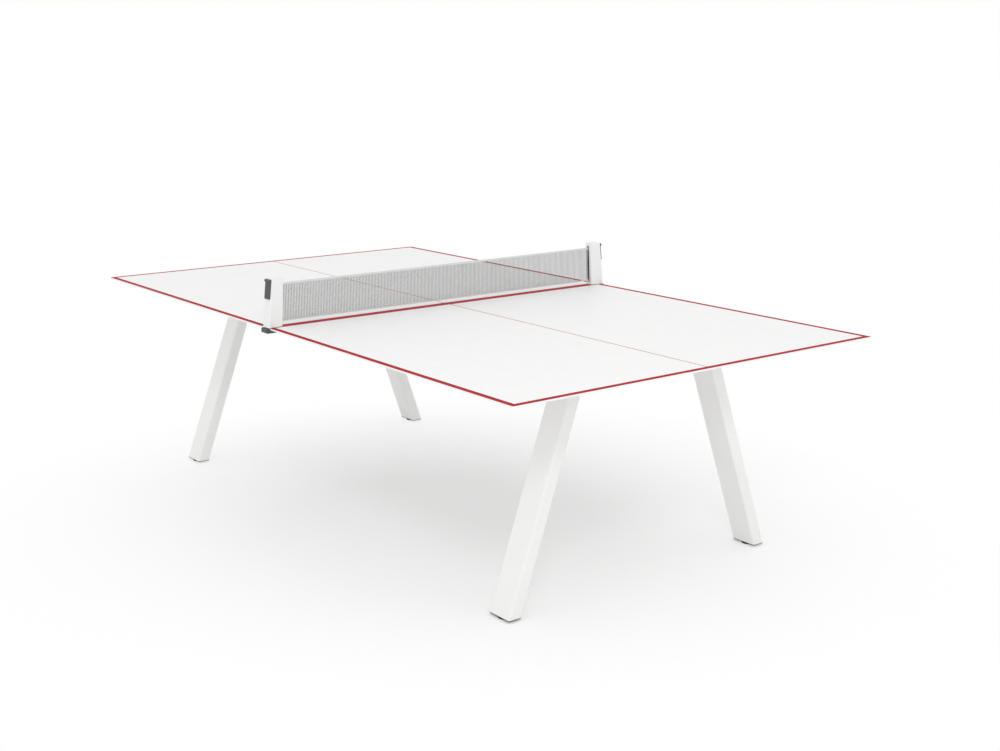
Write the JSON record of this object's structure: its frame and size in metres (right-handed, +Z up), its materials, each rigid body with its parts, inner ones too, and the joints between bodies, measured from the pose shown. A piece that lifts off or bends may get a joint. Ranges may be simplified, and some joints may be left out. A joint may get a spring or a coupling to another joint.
{
  "type": "ping pong table",
  "caption": "Ping pong table with a thin white split top, red playing lines, leaning flat-tube legs on levelling feet, and a clamp-on roll-up net held between end posts.",
  "frame": {"origin": "on the floor, under the centre of the playing top", "axes": "+X along the table's length, +Y across it along the net, +Z up"},
  "size_m": [2.74, 1.552, 0.932],
  "materials": {
    "top_laminate": "satin white laminate",
    "line_print": "dark red print",
    "frame_paint": "white powder coat",
    "black_plastic": "black moulded plastic",
    "zinc_steel": "bright zinc",
    "post_plastic": "pale grey moulded plastic",
    "clamp_plastic": "dark grey moulded plastic",
    "black_rubber": "black rubber",
    "spring_steel": "spring wire",
    "roller_metal": "satin tube",
    "bush_plastic": "natural bearing plastic",
    "net_cord": "grey net",
    "net_binding": "pale woven tape"
  },
  "bodies": {
    "table": {"beam_end_caps": "black_plastic", "clamp_spring_left": "spring_steel", "clamp_spring_right": "spring_steel", "cross_beam_far_end": "frame_paint", "cross_beam_far_mid": "frame_paint", "cross_beam_near_end": "frame_paint", "cross_beam_near_mid": "frame_paint", "cross_beam_seam": "frame_paint", "leg_far_left": "frame_paint", "leg_far_right": "frame_paint", "leg_near_left": "frame_paint", "leg_near_right": "frame_paint", "leg_plate_far_left": "frame_paint", "leg_plate_far_right": "frame_paint", "leg_plate_near_left": "frame_paint", "leg_plate_near_right": "frame_paint", "leg_plug_far_left": "black_plastic", "leg_plug_far_right": "black_plastic", "leg_plug_near_left": "black_plastic", "leg_plug_near_right": "black_plastic", "lines_far": "line_print", "lines_near": "line_print", "net_end_bar": "black_plastic", "net_hem": "net_binding", "net_mesh": "net_cord", "net_tape": "net_binding", "plate_bolts": "zinc_steel", "post_pad_left": "black_rubber", "post_pad_right": "black_rubber", "rail_end_caps": "black_plastic", "roller_bushes": "bush_plastic", "shell_back_left": "post_plastic", "shell_back_right": "post_plastic", "shell_front_left": "post_plastic", "shell_front_right": "post_plastic", "shell_screws_left": "zinc_steel", "shell_screws_right": "zinc_steel", "side_rail_left": "frame_paint", "side_rail_right": "frame_paint", "top_far": "top_laminate", "top_near": "top_laminate", "top_screws": "zinc_steel"},
    "clamp_left": {"clamp_lever_left": "clamp_plastic", "clamp_jaw_left": "clamp_plastic", "jaw_pad_left": "black_rubber"},
    "clamp_right": {"clamp_lever_right": "clamp_plastic", "clamp_jaw_right": "clamp_plastic", "jaw_pad_right": "black_rubber"},
    "roller": {"net_roller": "roller_metal"},
    "foot_near_left": {"foot_near_left": "black_plastic"},
    "foot_near_right": {"foot_near_right": "black_plastic"},
    "foot_far_left": {"foot_far_left": "black_plastic"},
    "foot_far_right": {"foot_far_right": "black_plastic"}
  },
  "joints": [
    {"name": "clamp_left_slide", "type": "slide", "parent": "table", "child": "clamp_left", "axis": [0, -0.1012, -0.9949], "range_m": [0, 0.028], "stiffness_N_per_m": 600, "springref_m": -0.03, "deforming": ["clamp_spring_left"]},
    {"name": "clamp_right_slide", "type": "slide", "parent": "table", "child": "clamp_right", "axis": [0, 0.1012, -0.9949], "range_m": [0, 0.028], "stiffness_N_per_m": 600, "springref_m": -0.03, "deforming": ["clamp_spring_right"]},
    {"name": "roller_turn", "type": "hinge", "parent": "table", "child": "roller", "pos_m": [0.0074, -0.7285, 0.846], "axis": [0, 0, 1], "continuous": true},
    {"name": "foot_near_left_turn", "type": "hinge", "parent": "table", "child": "foot_near_left", "pos_m": [1.051, -0.54, 0], "axis": [0, 0, 1], "continuous": true},
    {"name": "foot_near_right_turn", "type": "hinge", "parent": "table", "child": "foot_near_right", "pos_m": [1.051, 0.54, 0], "axis": [0, 0, 1], "continuous": true},
    {"name": "foot_far_left_turn", "type": "hinge", "parent": "table", "child": "foot_far_left", "pos_m": [-1.051, -0.54, 0], "axis": [0, 0, 1], "continuous": true},
    {"name": "foot_far_right_turn", "type": "hinge", "parent": "table", "child": "foot_far_right", "pos_m": [-1.051, 0.54, 0], "axis": [0, 0, 1], "continuous": true}
  ]
}
